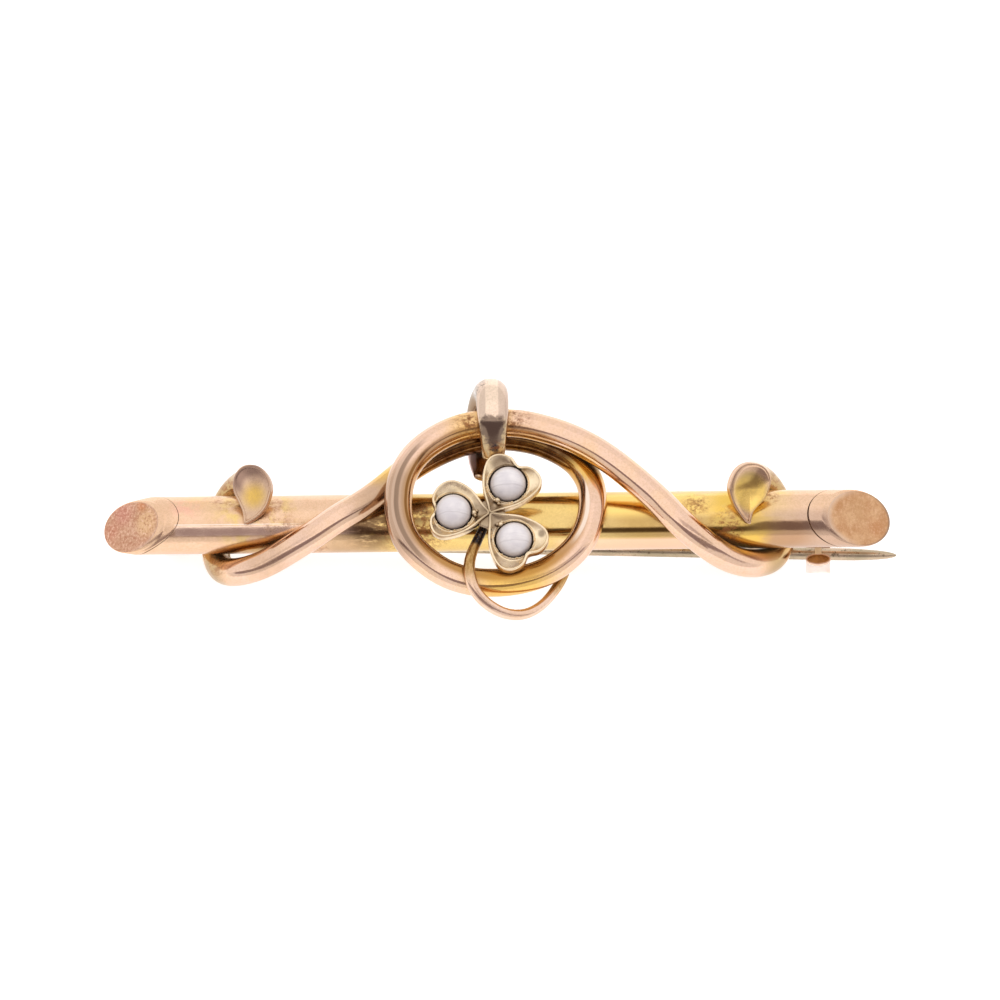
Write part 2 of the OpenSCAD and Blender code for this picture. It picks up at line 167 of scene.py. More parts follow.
def catmull(rows, steps, closed=False):
    """A smooth curve through the rows, with that many steps from each row to the next."""
    p = np.asarray(rows, float)
    if closed:
        q = np.vstack([p[-1:], p, p[:2]])
    else:
        q = np.vstack([2 * p[:1] - p[1:2], p, 2 * p[-1:] - p[-2:-1]])
    a, b, c, d = (x[:, None, :] for x in (q[:-3], q[1:-2], q[2:-1], q[3:]))
    t = (np.arange(steps) / steps)[None, :, None]
    out = 0.5 * (2 * b + (c - a) * t + (2 * a - 5 * b + 4 * c - d) * t ** 2
                 + (3 * b - a - 3 * c + d) * t ** 3)
    out = out.reshape(-1, p.shape[1])
    return out if closed else np.vstack([out, p[-1:]])


def resample(p, n, closed=False):
    """The same line with n points at equal distances."""
    q = np.vstack([p, p[:1]]) if closed else p
    along = np.concatenate([[0], np.cumsum(np.linalg.norm(np.diff(q[:, :3], axis=0), axis=1))])
    at = np.linspace(0, along[-1], n, endpoint=not closed)
    return np.column_stack([np.interp(at, along, q[:, k]) for k in range(q.shape[1])])


def soften(p, sigma, closed=False):
    """Averages each point with its neighbours; sigma is counted in points."""
    k = int(3 * sigma) + 1
    w = np.exp(-0.5 * (np.arange(-k, k + 1) / sigma) ** 2)
    w /= w.sum()
    if closed:
        q = np.vstack([p[-k:], p, p[:k]])
    else:
        q = np.vstack([2 * p[:1] - p[k:0:-1], p, 2 * p[-1:] - p[-2:-k - 2:-1]])
    return np.column_stack([np.convolve(q[:, i], w, "valid") for i in range(p.shape[1])])


def smooth_route(rows, spacing, sigma_mm):
    p = catmull(rows, 24)
    length = np.linalg.norm(np.diff(p[:, :3], axis=0), axis=1).sum()
    return soften(resample(p, int(length / spacing) + 2), sigma_mm / spacing)


def side_frames(p, first):
    """Unit headings, sides and ups along p, which turn as little as they can."""
    t = np.gradient(p, axis=0)
    t /= np.linalg.norm(t, axis=1)[:, None]
    v = np.asarray(first, float)
    s = []
    for heading in t:
        v = v - v.dot(heading) * heading
        v /= np.linalg.norm(v)
        s.append(v)
    return t, np.array(s), np.cross(t, s)


def loft(rings, cap_start=False, cap_end=False):
    """Faces between closed rings of equal length; a cap is a fan to the ring's middle."""
    m, n = len(rings), len(rings[0])
    verts = np.vstack(rings)
    k = np.arange(n)
    j = (k + 1) % n
    faces = np.vstack([np.column_stack([k, j, j + n, k + n]) + i * n for i in range(m - 1)]).tolist()
    if cap_start:
        verts = np.vstack([verts, rings[0].mean(0)])
        faces += [[len(verts) - 1, int(b), int(a)] for a, b in zip(k, j)]
    if cap_end:
        verts = np.vstack([verts, rings[-1].mean(0)])
        last = (m - 1) * n
        faces += [[len(verts) - 1, int(last + a), int(last + b)] for a, b in zip(k, j)]
    return verts, faces


def around(n):
    return np.linspace(0, 2 * np.pi, n, endpoint=False)


def spin(angles, r):
    """Points in the plane at these angles and distances."""
    return np.column_stack([np.cos(angles) * r, np.sin(angles) * r])


def raised(p, z):
    """Points in the plane, lifted to the height z."""
    return np.column_stack([p, np.broadcast_to(z, len(p))])


def tube(p, across, thick, sides, dome, first=(1, 0, 0), crease=0.0):
    """A closed tube along p with elliptic sections; its two ends are domes of that length.
    crease raises a faint ridge along the side that faces CREASE_WAY, as a share of the radius."""
    t, s, u = side_frames(p, first)
    across = np.broadcast_to(across, len(p))
    thick = np.broadcast_to(thick, len(p))
    a = around(sides)

    def ring(i, rise=0.0, way=0):
        """The section at point i, or that far up the dome that starts there, as an angle."""
        off = a - math.atan2(CREASE_WAY @ u[i], CREASE_WAY @ s[i])
        off = (off + np.pi) % (2 * np.pi) - np.pi
        grow = (1 + crease * np.exp(-(off / CREASE_ANGLE) ** 2))[:, None] * math.cos(rise)
        sideways = np.cos(a)[:, None] * across[i] * s[i] + np.sin(a)[:, None] * thick[i] * u[i]
        return p[i] + t[i] * way * dome * math.sin(rise) + grow * sideways

    rises = np.radians([80, 60, 40, 20])
    rings = [ring(0, g, -1) for g in rises]
    rings += [ring(i) for i in range(len(p))]
    rings += [ring(-1, g, 1) for g in rises[::-1]]
    return loft(rings, True, True)


def turn(v, x=0.0, y=0.0, z=0.0):
    """Turns points about x, then y, then z, in degrees."""
    m = Matrix.Identity(3)
    for angle, axis in ((x, "X"), (y, "Y"), (z, "Z")):
        m = Matrix.Rotation(math.radians(angle), 3, axis) @ m
    return np.asarray(v) @ np.array(m).T


def join(*parts):
    verts, faces, base = [], [], 0
    for v, f in parts:
        verts.append(v)
        faces += [[i + base for i in q] for q in f]
        base += len(v)
    return np.vstack(verts), faces


def ball(c, r, rows=10, cols=16, squash=1.0):
    rings = []
    for g in np.radians(np.linspace(-90, 90, rows + 2)[1:-1]):
        rings.append(raised(spin(around(cols), r * math.cos(g)), r * math.sin(g) * squash) + c)
    return loft(rings, True, True)


def link(name, data):
    obj = bpy.data.objects.new(name, data)
    bpy.context.scene.collection.objects.link(obj)
    return obj


def add(name, shape, material, node, body="brooch"):
    """Makes a shown piece in place of a node, from points in mm from the middle of the bar's axis."""
    verts, faces = shape
    mesh = bpy.data.meshes.new(name)
    mesh.from_pydata(((verts + np.array([0, 0, BAR_HEIGHT])) * MM).tolist(), [], faces)
    mesh.polygons.foreach_set("use_smooth", [True] * len(mesh.polygons))
    mesh.materials.append(material)
    mesh.update()
    obj = link(name, mesh)
    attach(obj, body)
    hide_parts(node)
    return obj


# ---- materials ----

class Nodes:
    """Short names for the nodes that the materials and the studio's light are built from.
    Places are in mm; x and y count from the middle of the bar's axis and z from the floor."""

    def __init__(self, owner, coord="Object", scale=1 / MM):
        owner.use_nodes = True
        self.owner = owner
        self.tree = owner.node_tree
        self.pos = self.vector("SCALE", self.node("TexCoord").outputs[coord])
        self.pos.node.inputs["Scale"].default_value = scale
        self.x, self.y, self.z = self.node("SeparateXYZ", {0: self.pos}).outputs

    def put(self, socket, value):
        if isinstance(value, bpy.types.NodeSocket):
            self.tree.links.new(value, socket)
        else:
            socket.default_value = (*value, 1) if socket.type == "RGBA" else value

    def node(self, kind, inputs={}, **settings):
        """A new node with these settings and inputs, which are sockets or values."""
        n = self.tree.nodes.new("ShaderNode" + kind)
        for key, value in settings.items():
            setattr(n, key, value)
        for key, value in inputs.items():
            self.put(n.inputs[key], value)
        return n

    def vector(self, op, a, b=None):
        n = self.node("VectorMath", {0: a} if b is None else {0: a, 1: b}, operation=op)
        return n.outputs["Value" if op in ("LENGTH", "DISTANCE", "DOT_PRODUCT") else 0]

    def math(self, op, a, b=0.0, clamp=False):
        return self.node("Math", {0: a, 1: b}, operation=op, use_clamp=clamp).outputs[0]

    def plus(self, a, b):
        return self.math("ADD", a, b)

    def less(self, a, b):
        return self.math("SUBTRACT", a, b)

    def size(self, a):
        return self.math("ABSOLUTE", a)

    def most(self, first, *others):
        for value in others:
            first = self.math("MAXIMUM", first, value)
        return first

    def times(self, first, *others):
        for value in others:
            first = self.math("MULTIPLY", first, value)
        return first

    def noise(self, scale, detail=2.0, rough=0.5, stretch=(1, 1, 1), offset=(0, 0, 0)):
        v = self.pos
        if stretch != (1, 1, 1) or offset != (0, 0, 0):
            v = self.vector("ADD", self.vector("MULTIPLY", v, stretch), offset)
        inputs = {"Vector": v, "Scale": scale, "Detail": detail, "Roughness": rough}
        return self.node("TexNoise", inputs).outputs["Fac"]

    def step(self, x, low, high, a=0.0, b=1.0):
        """a below low, b above high, smooth between."""
        if low > high:
            low, high, a, b = high, low, b, a
        inputs = {"Value": x, "From Min": low, "From Max": high, "To Min": a, "To Max": b}
        return self.node("MapRange", inputs, interpolation_type="SMOOTHSTEP").outputs["Result"]

    def distance(self, at):
        """How far away a place is, whose z is given from the bar's axis."""
        return self.vector("DISTANCE", self.pos, (at[0], at[1], at[2] + BAR_HEIGHT))

    def near(self, at, inner, outer, share=1.0):
        """share within inner mm of a place, 0 past outer mm."""
        return self.step(self.distance(at), outer, inner, 0.0, share)

    def mix(self, fac, a, b):
        return self.node("Mix", {"Factor": fac, 6: a, 7: b}, data_type="RGBA").outputs[2]

    def crevice(self, distance, low=0.25, high=0.8):
        """1 deep in a corner, 0 in the open."""
        n = self.node("AmbientOcclusion", {"Distance": distance * MM}, samples=4)
        return self.step(n.outputs["AO"], 1 - low, 1 - high)

    def bump(self, height, distance, **normal):
        inputs = {"Strength": 1.0, "Distance": distance * MM, "Height": height, **normal}
        return self.node("Bump", inputs).outputs[0]

    def finish(self, color, rough, metal=1.0, **more):
        inputs = self.tree.nodes["Principled BSDF"].inputs
        for key, value in {"Base Color": color, "Roughness": rough, "Metallic": metal, **more}.items():
            self.put(inputs[key.replace("_", " ")], value)
        return self.owner


def new_material(name):
    return Nodes(bpy.data.materials.new(name))


ROSE = (0.80, 0.535, 0.365)
PINK = (0.79, 0.535, 0.405)
YELLOW = (0.80, 0.485, 0.10)
BAR_YELLOW = (0.78, 0.55, 0.185)
DEEP = (0.46, 0.235, 0.06)
RUST = (0.36, 0.135, 0.04)
SOOT_AND_SHADE = (0.07, 0.03, 0.014)
LOWER_SHADE = (0.40, 0.27, 0.215)
BLACKENED = (0.13, 0.065, 0.03)

# The bar's faint crease, seen in its cross-section from the line at -38 degrees, in mm
CREASE_TOP = 0.95
CREASE_AT = -0.02
CREASE_WIDTH = 0.16
CREASE_SLOPE = 0.19


def gold(name, light, dark, yellow, dirt, rough, wave, marks, reach, warm=0.8, deep=DEEP,
         tint=YELLOW, lean=None, duller=None):
    """Polished worn gold. light and dark are its two tones; yellow and dirt are masks of where it
    is yellower and tarnished, and marks are pairs of a mask and a colour. A mask is a function of
    the node helper. Where other pieces lie within reach mm the gold turns towards deep, as much
    as warm says, and in tight corners it turns nearly black: both are painted shade. lean gives a
    height in mm that bends its reflections, and duller adds roughness."""
    n = new_material(name)
    tone = n.step(n.noise(0.55, 3, 0.55), 0.35, 0.68)
    color = n.mix(tone, light, dark)
    color = n.mix(yellow(n), color, tint)
    grain = n.step(n.noise(7.0, 5, 0.7, offset=(5, 1, 1)), 0.42, 0.62)
    color = n.mix(n.times(grain, 0.16), color, deep)
    cloud = n.noise(1.9, 5, 0.62, offset=(8, 2, 1))
    smear = n.step(n.noise(2.6, 6, 0.7, stretch=(1, 1.3, 1), offset=(3, 1, 7)), 0.44, 0.6)
    spots = n.step(n.noise(6.5, 4, 0.6, offset=(6, 3, 2)), 0.55, 0.66)
    wide = n.crevice(reach, 0.25, 0.85)
    tight = n.crevice(0.5, 0.3, 0.8)
    # painted shade: deeper where other pieces lie near, and nearly black in tight corners
    color = n.mix(n.times(wide, n.step(cloud, 0.2, 0.6, warm * 0.75, warm)), color, deep)
    color = n.mix(n.times(tight, 0.85), color, SOOT_AND_SHADE)
    for place, shade in marks:
        color = n.mix(place(n), color, shade)
    dirty = n.times(dirt(n), smear)
    color = n.mix(n.times(dirty, 0.72), color, RUST)
    color = n.mix(n.times(dirty, spots, 0.8), color, SOOT_AND_SHADE)
    worn = n.most(dirty, tight)
    r = n.plus(n.step(n.noise(1.1, 4, 0.65), 0.3, 0.75, rough * 0.75, rough * 1.35), n.times(worn, 0.22))
    if duller:
        r = n.plus(r, duller(n))
    normal = n.bump(n.noise(0.75, 2, 0.4, offset=(2, 9, 4)), wave)
    if lean:
        normal = n.bump(lean(n), 1.0, Normal=normal)
    scratch = n.noise(2.2, 4, 0.7, stretch=(1.5, 9, 9), offset=(1, 5, 2))
    normal = n.bump(n.plus(scratch, n.noise(9, 3, 0.6)), 0.0012, Normal=normal)
    return n.finish(color, r, n.less(1.0, n.times(worn, 0.3)), Normal=normal)


def mask(share=1.0, near=(), x=(), y=(), z=(), across=(), ring=(), patch=None):
    """A mask that multiplies what is given: near lists rows for Nodes.near and keeps the largest,
    the next five list steps for Nodes.step along x, y and z, round the bar's front and out from
    the ring's middle, and patch is a noise's arguments and its step."""
    def build(n):
        parts = [n.most(*(n.near(*row) for row in near))] if near else []
        for steps, value in ((x, n.x), (y, n.y), (z, n.z)):
            parts += [n.step(value, *row) for row in steps]
        if across:
            value = bar_across(n)
            parts += [n.step(value, *row) for row in across]
        if ring:
            value = ring_share(n)
            parts += [n.step(value, *row) for row in ring]
        if patch:
            parts.append(n.step(n.noise(*patch[0]), *patch[1:]))
        return n.times(*parts, share)
    return build


def bar_across(n):
    """Round the bar's front, in mm from the line at -38 degrees."""
    return n.vector("DOT_PRODUCT", n.vector("SUBTRACT", n.pos, (0, 0, BAR_HEIGHT)), (0, 0.79, 0.61))


def ring_share(n):
    """How far out from the ring's middle, where the wire's own middle is at 1."""
    v = n.vector("MULTIPLY", n.vector("ADD", n.pos, (0.08, 0.15, 0)), (1 / 5.92, 1 / 5.15, 0))
    return n.vector("LENGTH", v)


def bar_yellow(n):
    blotch = n.step(n.noise(0.9, 3, 0.6, offset=(5, 5, 5)), 0.42, 0.62)
    right = n.times(n.step(n.x, 9, 12), n.step(n.x, 18.7, 16.8), n.plus(n.times(blotch, 0.5), 0.4))
    middle = n.times(n.step(n.x, -9.5, -6), n.step(n.x, 12, 9, 0, 0.92))
    return n.most(right, middle, n.times(n.near((-14.7, 0, 1.7), 1.0, 3.4, 0.8), blotch))


bar_dirt = mask(near=(
    ((-16.6, 1.2, 1.4), 0.3, 1.5, 0.6), ((-13.6, 0.2, 1.7), 0.3, 1.6, 0.6),
    ((-13.2, -1.2, 1.4), 0.4, 1.6, 0.6), ((12.1, 0.3, 1.7), 0.2, 1.2),
    ((14.0, -1.1, 1.4), 0.3, 1.5), ((16.6, 0.8, 1.6), 0.2, 0.8),
    ((-11.5, -1.6, 0.9), 0.3, 1.8), ((-5.5, -1.3, 1.2), 0.4, 2.4), ((-4.2, -0.9, 1.5), 0.4, 2.2),
    ((9.0, 1.4, 1.0), 0.3, 1.2)))


def bar_lean(n):
    """Between the crossings the bar has a faint crease, which narrows the dark band it mirrors.
    Towards the left end its front leans up a little."""
    across = bar_across(n)
    reach = CREASE_TOP - CREASE_AT
    creased = n.times(n.step(n.x, -9.0, -6.5), n.step(n.x, 16.6, 14.8))
    above = n.math("DIVIDE", n.less(CREASE_TOP, across), reach, clamp=True)
    below = n.times(n.math("DIVIDE", n.less(CREASE_AT, across), CREASE_WIDTH, clamp=True), CREASE_WIDTH)
    rise = n.times(above, above, CREASE_SLOPE * reach / 2)
    fall = n.times(n.less(below, n.times(below, below, 0.5 / CREASE_WIDTH)), CREASE_SLOPE)
    left = n.times(across, n.step(n.x, -8, -14), -0.015)
    return n.plus(n.times(n.plus(rise, fall), creased), left)


bar_dull = mask(x=((-8.0, -11.0, 0.0, 0.03),))
BAR_MARKS = (
    # pinker and warmer stains at the left end
    (mask(0.6, (((-19.0, 0.5, 1.7), 0.2, 1.3),), patch=((1.8, 4, 0.6), 0.35, 0.6)), (0.86, 0.45, 0.34)),
    (mask(0.6, (((-18.2, 1.3, 1.2), 0.3, 1.6),), patch=((1.6, 4, 0.6, (1, 1, 1), (2, 5, 2)), 0.35, 0.6)),
     (0.84, 0.54, 0.27)),
    # painted shade towards the right end, on the lower half
    (mask(0.55, x=((-2, 19),), y=((0.35, -0.5),)), LOWER_SHADE),
    # what the bar mirrors beside the strand that crosses it on the right
    (mask(0.6, (((9.6, -0.4, 1.7), 1.2, 3.6),), y=((0.4, -0.4),)), (0.46, 0.27, 0.07)),
    # painted shade on the underside near the right seam, and left of the ring
    (mask(0.8, (((17.4, -1.3, 1.2), 0.9, 2.5),), y=((-0.6, -0.9),)), (0.47, 0.265, 0.145)),
    (mask(0.6, (((-8.8, -1.73, 0.38), 1.0, 2.6),)), (0.44, 0.28, 0.13)),
    # on the left the dark band that the bar mirrors is paler, with a glint above it
    (mask(0.9, x=((-8, -10), (-19.75, -19.5)), across=((0.45, 0.40), (-0.22, -0.14))), (1.0, 0.72, 0.55)),
    (mask(0.45, x=((-11, -14), (-19.75, -19.5)), across=((0.45, 0.48), (0.55, 0.52))), (1.0, 0.90, 0.84)),
    # a painted highlight of the brightest gold, and painted pinker light on the underside, right of the
    # ring
    (mask(0.75, x=((4.0, 6.0), (15.0, 12.0)), y=((-0.7, 0.0), (1.35, 0.9))), (1.0, 0.70, 0.22)),
    (mask(0.75, x=((3.0, 5.0), (13.0, 11.0)), y=((0.0, -0.5),), z=((BAR_HEIGHT + 1.0, BAR_HEIGHT + 0.75),)),
     (0.88, 0.58, 0.42)),
    # more golden, and olive painted shade where the right part turns downward
    (mask(0.85, (((15.3, -1.5, 0.95), 0.6, 1.7), ((14.6, 0.1, 1.75), 0.8, 2.6)),
          patch=((1.5, 4, 0.65, (0.6, 1, 1), (7, 1, 1)), 0.32, 0.55, 0.5, 1.0)), (0.78, 0.49, 0.09)),
    (mask(0.75, (((14.4, -1.0, 1.45), 1.2, 3.4),), y=((-0.4, -0.6), (-1.5, -1.3))), (0.55, 0.36, 0.11)),
    # a painted dark reflection along the crease
    (mask(0.88, x=((-9.0, -7.5), (16.2, 14.6)), across=((-0.33, -0.21), (0.11, -0.01))),
     (0.15, 0.075, 0.015)),
    # dark patches where the vine crosses the bar on the left
    (mask(0.9, (((-7.5, -0.35, 1.75), 1.0, 2.6), ((-4.8, 0.1, 1.75), 0.3, 1.5)),
          patch=((1.6, 5, 0.7, (0.6, 1.6, 1.6), (4, 4, 1)), 0.32, 0.52)), BLACKENED),
)


def ring_inside_shade(n):
    """Painted shade on the side of the ring that faces its own middle, stronger lower down."""
    lower = n.times(n.math("MINIMUM", n.y, 0.0), 0.016)
    inner = n.step(n.plus(ring_share(n), lower), 0.985, 0.915)
    return n.times(inner, n.step(n.y, -2.0, -4.4, 0.58, 0.88))


def ring_reflection_line(at, half, share):
    """A painted reflection: a thin line along the ring's left part; further out on its lower left."""
    def build(n):
        off = n.less(n.plus(ring_share(n), n.times(n.math("MINIMUM", n.y, 0.0), 0.013)), at)
        part = n.times(n.step(n.x, -3.4, -5.0), n.step(n.y, 4.2, 2.6), n.step(n.z, 7.6, 8.0))
        return n.times(n.step(n.size(off), half, half * 0.4), part, share)
    return build


def wire_yellow(n):
    patch = mask(0.85, (((5.3, 2.7, 2.4), 1.0, 2.4), ((0.9, -5.2, 3.2), 1.2, 3.6),
                        ((2.0, 4.6, 2.6), 0.6, 2.2), ((-1.8, 4.6, 3.4), 0.5, 2.2),
                        ((-7.0, 2.0, 3.1), 0.3, 1.6)))
    # yellower in hollows, a painted reflection of the gold around them; also in patches and on the parts
    # behind the bar
    return n.most(n.times(n.crevice(3.0, 0.12, 0.7), 0.8), patch(n), n.step(n.z, 3.6, 2.4, 0, 0.4))


wire_dirt = mask(near=(
    ((-1.7, 4.7, 3.9), 0.3, 1.5), ((1.5, 4.9, 3.9), 0.3, 1.2), ((-16.3, 2.2, 0.2), 0.4, 1.8),
    ((-16.8, -2.1, -0.6), 0.3, 1.6), ((14.2, -1.6, 0.8), 0.3, 1.4), ((16.7, 2.3, -0.4), 0.3, 1.5)))

WIRE_MARKS = (
    # painted shade on the ring's left part
    (mask(0.84, (((-5.9, -1.0, 4.3), 2.0, 3.9),), ring=((0.88, 0.93),)), (0.42, 0.275, 0.185)),
    (ring_inside_shade, (0.42, 0.20, 0.045)),
    # painted reflections as thin lines: a dark one at the ring's crease, a glint beside it, and a dark one
    # at its inner crease
    (ring_reflection_line(1.0165, 0.034, 0.78), (0.22, 0.14, 0.095)),
    (ring_reflection_line(1.056, 0.02, 0.6), (0.62, 0.43, 0.32)),
    (ring_reflection_line(0.919, 0.02, 0.85), (0.20, 0.08, 0.015)),
    # painted shade, in patches, on the strands behind the ring at the collar
    (mask(x=((-6.0, -4.4), (6.0, 4.4)), y=((2.0, 3.4),), z=((8.2, 7.8),),
          patch=((1.6, 4, 0.6, (1, 1, 1), (2, 2, 5)), 0.3, 0.6, 0.72, 0.97)), (0.10, 0.043, 0.016)),
    # a glint on the ring's right part
    (mask(0.7, x=((4.2, 5.0),), y=((-3.6, -1.8), (2.6, 1.2)), ring=((0.918, 0.936), (0.978, 0.960))),
     (1.0, 0.84, 0.72)),
    # painted shade on the loop under the bar, and olive painted shade on the stretches where the wire goes
    # round it
    (mask(0.6, (((-14.1, -2.7, 1.3), 0.7, 1.9),), patch=((1.4, 3, 0.6), 0.3, 0.6, 0.4, 0.9)),
     (0.55, 0.36, 0.25)),
    (mask(0.8, (((16.7, 2.4, -0.6), 1.0, 2.6), ((-16.2, 2.4, -0.2), 1.0, 2.5),
                ((-16.8, -2.3, -1.4), 0.8, 2.0), ((16.6, -2.0, -1.8), 0.6, 2.0))), (0.40, 0.27, 0.11)),
    # red-brown dirt where the ring goes into the collar
    (mask(0.8, (((1.05, 4.9, 4.4), 0.4, 0.75), ((-1.6, 4.75, 4.45), 0.3, 0.6)),
          patch=((4.2, 4, 0.7, (1, 1, 1), (1, 6, 4)), 0.44, 0.56)), (0.16, 0.05, 0.015)),
)
STEM_MARKS = (
    # browner from the clover to the ring, and soot at its top
    (mask(y=((-6.2, -4.6),), patch=((2.4, 4, 0.7, (3.5, 1, 2), (7, 3, 1)), 0.36, 0.6, 0.5, 0.95)),
     (0.33, 0.175, 0.05)),
    (mask(0.97, (((-1.1, -2.45, 3.9), 0.6, 0.95),), patch=((5, 4, 0.7, (2, 1, 1), (1, 8, 3)), 0.30, 0.42)),
     (0.022, 0.02, 0.026)),
)


# painted shade on the collar's sides beside its middle band, stronger on its right side
def collar_side_shade(n):
    beside = n.step(n.size(n.plus(n.x, 0.24)), 0.34, 0.44, 0, 0.45)
    return n.most(beside, n.times(n.step(n.x, 0.3, 0.66), 0.7))


def collar_dark(n):
    """A painted dark reflection: a brown patch with a ragged edge on the collar's lower front."""
    ragged = n.times(n.noise(3.6, 4, 0.7, offset=(3, 3, 3)), 0.9)
    high = n.distance((-0.24, 4.22, 5.0))
    low = n.distance((-0.16, 3.75, 4.6))
    d = n.plus(n.math("MINIMUM", high, n.plus(low, 0.22)), ragged)
    return n.times(n.step(d, 1.4, 1.12), 0.9)


def collar_spot(n):
    ragged = n.times(n.noise(4.0, 3, 0.6, offset=(3, 8, 2)), 0.35)
    d = n.distance((-0.08, 3.2, 4.25))
    return n.times(n.step(n.plus(d, ragged), 0.52, 0.4), 0.93)


COLLAR_BACK = dict(x=((-1.12, -1.3),), y=((4.6, 3.9),), z=((6.6, 6.2),))
COLLAR_MARKS = (
    (collar_side_shade, (0.40, 0.29, 0.235)),
    # painted shade on the left side of the loop behind the band
    (mask(x=((-1.05, -1.25, 0.0, 0.9),)), (0.27, 0.185, 0.115)),
    # the yellower end beside the clover, and a painted pale highlight on the strip's lower end behind the
    # ring
    (mask(0.6, y=((4.9, 4.2),), z=((7.6, 8.2),)), (0.58, 0.43, 0.22)),
    (mask(**COLLAR_BACK), (0.86, 0.68, 0.64)),
    (collar_dark, (0.20, 0.135, 0.105)),
    (collar_spot, (0.06, 0.06, 0.085)),
    # nicks along the upper left edge
    (mask(0.8, (((-0.95, 6.9, 4.6), 0.35, 0.95), ((-1.1, 6.35, 4.8), 0.2, 0.6)),
          patch=((4.5, 3, 0.7, (1, 2, 2), (9, 1, 2)), 0.52, 0.6)), (0.10, 0.06, 0.045)),
)


def leaf_left_shade(n):
    """Painted shade in the left leaf's bowl along its upper edge."""
    out = n.distance((-14.75, 1.35, 2.75))
    return n.times(n.step(out, 0.5, 0.95), n.step(out, 1.5, 1.3), n.step(n.y, 0.6, 1.6),
                   n.step(n.x, -13.9, -14.7, 0.45, 0.95))


RIGHT_LEAF_MARKS = (
    # painted shade at the top of the bowl and a painted highlight at its bottom
    (mask(0.6, (((15.2, 1.4, 2.6), 0.85, 1.15),), y=((0.9, 1.7),)), (0.38, 0.26, 0.11)),
    (mask(0.9, (((15.45, 0.15, 2.3), 0.35, 0.9),)), (0.95, 0.64, 0.19)),
)

# Stains on the end faces: a place for Nodes.near and a colour
CAP_STAINS = {
    "left": (((-22.8, 1.03, -0.4), 0.2, 1.2, 0.7, (0.62, 0.28, 0.22)),
             ((-21.4, -0.1, 0.85), 0.4, 1.25, 0.8, (0.72, 0.47, 0.25)),
             ((-21.68, 1.05, 0.72), 0.1, 0.55, 0.7, (0.62, 0.24, 0.09)),
             ((-23.5, 0.1, -1.3), 0.2, 0.9, 0.6, (0.58, 0.25, 0.17))),
    "right": (((21.9, 0.6, 0.0), 0.2, 1.2, 0.4, (0.60, 0.38, 0.20)),
              ((23.2, -0.3, -1.0), 0.2, 0.9, 0.5, (0.55, 0.26, 0.12))),
}


def cap_metal(side, cut, tint, shade, speck, grainy):
    """An end cap's matt end face, whose hammered grain is as strong as grainy says."""
    n = new_material("cap_gold_" + side)
    pits = n.noise(6.5, 3, 0.75)
    cloud = n.step(n.noise(1.3, 3, 0.6, offset=(1, 2, 3)), 0.35, 0.68)
    color = n.mix(cloud, tint, shade)
    uneven = n.step(pits, 0.3, 0.55, 0.5, 1.0)
    for *place, stain in CAP_STAINS[side]:
        color = n.mix(n.times(n.near(*place), uneven), color, stain)
    color = n.mix(n.step(pits, 0.49, 0.62, 0, 0.75 * grainy), color, speck)
    color = n.mix(n.step(pits, 0.46, 0.36, 0, 0.6 * grainy), color, (0.86, 0.60, 0.46))
    # the worn rim, smoother and with a painted pale highlight, and painted shade on its side away from the
    # front
    off = n.vector("MULTIPLY", n.vector("SUBTRACT", n.pos, (0, 0, BAR_HEIGHT)), (0, 1, 1))
    out = n.vector("LENGTH", off)
    front = n.vector("DOT_PRODUCT", off, (0, -math.sin(cut[1]), math.cos(cut[1])))
    rim = n.times(n.step(n.plus(out, n.times(pits, 0.3)), 1.42, 1.78), n.step(front, -0.4, 1.1))
    color = n.mix(n.times(rim, 0.5), color, (0.70, 0.54, 0.44))
    edge = n.times(n.step(out, 1.60, 1.70), n.step(front, 0.7, -0.5))
    color = n.mix(n.times(edge, 0.75), color, (0.25, 0.17, 0.125))
    brush = n.noise(3.0, 4, 0.7, stretch=(2, 7, 7))
    normal = n.bump(brush, 0.006, Normal=n.bump(pits, 0.016 * grainy))
    rough = n.less(n.step(brush, 0.3, 0.7, 0.4, 0.58), n.times(rim, 0.15))
    return n.finish(color, rough, Normal=normal)


